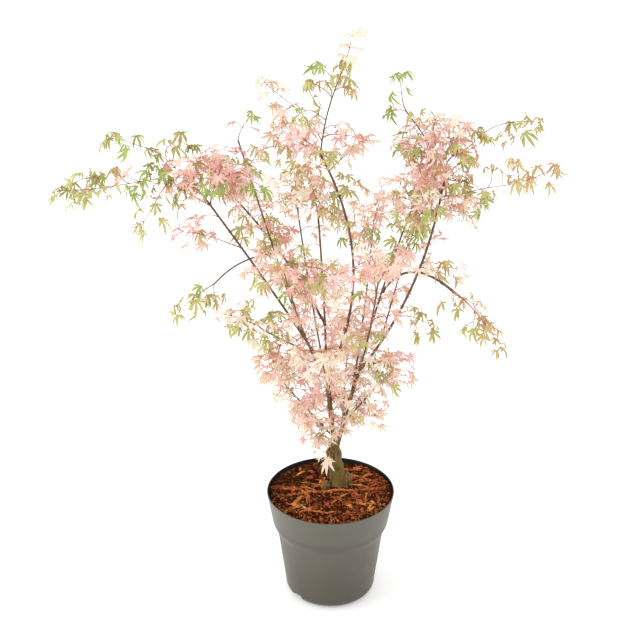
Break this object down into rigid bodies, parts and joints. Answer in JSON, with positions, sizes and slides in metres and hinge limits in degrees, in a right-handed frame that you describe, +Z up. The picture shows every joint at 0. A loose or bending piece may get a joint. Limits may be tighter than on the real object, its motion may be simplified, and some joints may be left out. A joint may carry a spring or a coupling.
{
  "type": "potted japanese maple",
  "caption": "Young Japanese maple in a round plastic nursery pot: short flared trunk, slender spreading boughs and open masses of small pink, peach and green hand-shaped leaves.",
  "frame": {"origin": "middle of the pot's flat underside, where the plant stands", "axes": "+Z up; -Y to the front, the side that the plant is shown from; +X to the right"},
  "size_m": [0.6684, 0.4463, 0.8748],
  "materials": {
    "pot_plastic": "grey-taupe moulded plastic, satin outside and black inside",
    "potting_mix": "loose dark bark, peat crumbs and orange coir",
    "bark": "rough olive-brown bark",
    "young_bark": "smooth red-brown young bark",
    "leaves_pink": "thin matt leaves, salmon pink",
    "leaves_peach": "thin matt leaves, peach",
    "leaves_cream": "thin matt leaves, cream to pale peach",
    "leaves_green": "thin matt leaves, yellow-green to olive"
  },
  "bodies": {
    "root": {"pot": "pot_plastic", "soil": "potting_mix", "trunk": "bark", "stem_left": "bark", "stem_right": "bark", "bough_back_left": "young_bark", "bough_back_low": "young_bark", "bough_back_right": "young_bark", "bough_centre": "young_bark", "bough_front_left": "young_bark", "bough_front_low": "young_bark", "bough_front_right": "young_bark", "bough_left_arch": "young_bark", "bough_left_back": "young_bark", "bough_left_low": "young_bark", "bough_left_middle": "young_bark", "bough_left_outer": "young_bark", "bough_left_upper": "young_bark", "bough_right_arch": "young_bark", "bough_right_back": "young_bark", "bough_right_inner": "young_bark", "bough_right_low": "young_bark", "bough_right_outer": "young_bark", "leader": "young_bark", "leader_tip": "young_bark", "shoot_right": "young_bark", "mass_back_left": "leaves_pink", "mass_back_low": "leaves_cream", "mass_back_right": "leaves_peach", "mass_centre": "leaves_cream", "mass_centre_front": "leaves_peach", "mass_centre_low": "leaves_cream", "mass_crown_centre": "leaves_pink", "mass_crown_top": "leaves_pink", "mass_front_left": "leaves_pink", "mass_front_low": "leaves_cream", "mass_front_right": "leaves_peach", "mass_left_arch": "leaves_green", "mass_left_back": "leaves_pink", "mass_left_foot": "leaves_cream", "mass_left_hanging": "leaves_green", "mass_left_leader": "leaves_peach", "mass_left_low": "leaves_cream", "mass_left_middle": "leaves_peach", "mass_left_middle_front": "leaves_peach", "mass_left_tip_high": "leaves_green", "mass_left_tip_low": "leaves_green", "mass_left_wing": "leaves_pink", "mass_right_arch": "leaves_green", "mass_right_back": "leaves_peach", "mass_right_foot": "leaves_cream", "mass_right_low": "leaves_peach", "mass_right_middle": "leaves_pink", "mass_right_shoot": "leaves_green", "mass_right_tip_high": "leaves_green", "mass_right_tip_low": "leaves_green", "mass_right_wing": "leaves_pink", "mass_right_wing_low": "leaves_pink", "mass_top_leader": "leaves_green"}
  },
  "joints": []
}
